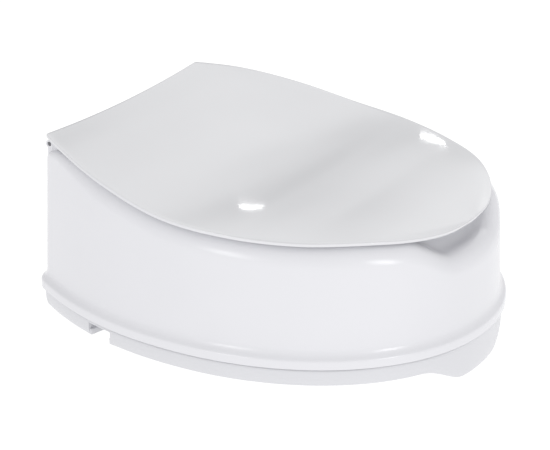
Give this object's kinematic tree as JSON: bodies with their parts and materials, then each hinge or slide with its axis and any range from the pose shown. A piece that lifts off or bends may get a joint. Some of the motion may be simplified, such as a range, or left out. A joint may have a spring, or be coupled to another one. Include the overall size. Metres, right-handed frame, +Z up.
{
  "type": "raised toilet seat",
  "caption": "Raised toilet seat with a contoured hinged lid, a flanged hollow shell, a base ring with a front apron and side clamps for the bowl's rim.",
  "frame": {"origin": "centre of the bounding box at its base, in the plane of the apron's tip and the clamp jaws' feet", "axes": "+Z up, +Y towards the lid's hinge at the rear, -Y the front, +X to the right as seen from the front"},
  "size_m": [0.393, 0.4352, 0.1997],
  "materials": {
    "shell_plastic": "moulded gloss white",
    "lid_plastic": "moulded gloss white",
    "base_plastic": "moulded gloss white",
    "natural_nylon": "moulded satin",
    "black_rubber": "moulded matt",
    "zinc_steel": "zinc plated",
    "brass": "turned"
  },
  "bodies": {
    "seat": {"seat_shell": "shell_plastic", "base_ring": "base_plastic", "bowl_pad_front_left": "black_rubber", "bowl_pad_side_left": "black_rubber", "bowl_pad_rear_left": "black_rubber", "base_screw_front_left": "zinc_steel", "base_screw_mid_left": "zinc_steel", "base_screw_side_left": "zinc_steel", "base_screw_rear_left": "zinc_steel", "hinge_pin_left": "zinc_steel", "clamp_bush_left": "natural_nylon", "bowl_pad_front_right": "black_rubber", "bowl_pad_side_right": "black_rubber", "bowl_pad_rear_right": "black_rubber", "base_screw_front_right": "zinc_steel", "base_screw_mid_right": "zinc_steel", "base_screw_side_right": "zinc_steel", "base_screw_rear_right": "zinc_steel", "hinge_pin_right": "zinc_steel", "clamp_bush_right": "natural_nylon"},
    "lid": {"lid_panel": "lid_plastic", "lid_buffer_front_left": "black_rubber", "lid_buffer_rear_left": "black_rubber", "hinge_bush_left": "natural_nylon", "lid_buffer_front_right": "black_rubber", "lid_buffer_rear_right": "black_rubber", "hinge_bush_right": "natural_nylon"},
    "clamp_left": {"clamp_slider_left": "natural_nylon", "clamp_jaw_pad_left": "black_rubber", "clamp_nut_left": "brass"},
    "screw_left": {"clamp_screw_left": "zinc_steel", "clamp_washer_left": "zinc_steel", "clamp_retainer_left": "zinc_steel"},
    "clamp_right": {"clamp_slider_right": "natural_nylon", "clamp_jaw_pad_right": "black_rubber", "clamp_nut_right": "brass"},
    "screw_right": {"clamp_screw_right": "zinc_steel", "clamp_washer_right": "zinc_steel", "clamp_retainer_right": "zinc_steel"}
  },
  "joints": [
    {"name": "lid_hinge", "type": "hinge", "parent": "seat", "child": "lid", "pos_m": [0, 0.1994, 0.1904], "axis": [-1, 0, 0], "range_deg": [0, 105]},
    {"name": "clamp_screw_turn_left", "type": "hinge", "parent": "seat", "child": "screw_left", "pos_m": [-0.15368, 0.1036, 0.027], "axis": [0.9691, -0.2468, 0], "range_deg": [-1455, 1455]},
    {"name": "clamp_slide_left", "type": "slide", "parent": "seat", "child": "clamp_left", "axis": [0.9691, -0.2468, 0], "range_m": [-0.012, 0.012]},
    {"name": "clamp_screw_turn_right", "type": "hinge", "parent": "seat", "child": "screw_right", "pos_m": [0.15368, 0.1036, 0.027], "axis": [-0.9691, -0.2468, 0], "range_deg": [-1455, 1455]},
    {"name": "clamp_slide_right", "type": "slide", "parent": "seat", "child": "clamp_right", "axis": [-0.9691, -0.2468, 0], "range_m": [-0.012, 0.012]}
  ],
  "couplings": [
    {"joint": "clamp_screw_turn_left", "follows": "clamp_slide_left", "rad_per_m": -2094.4},
    {"joint": "clamp_screw_turn_right", "follows": "clamp_slide_right", "rad_per_m": -2094.4}
  ]
}
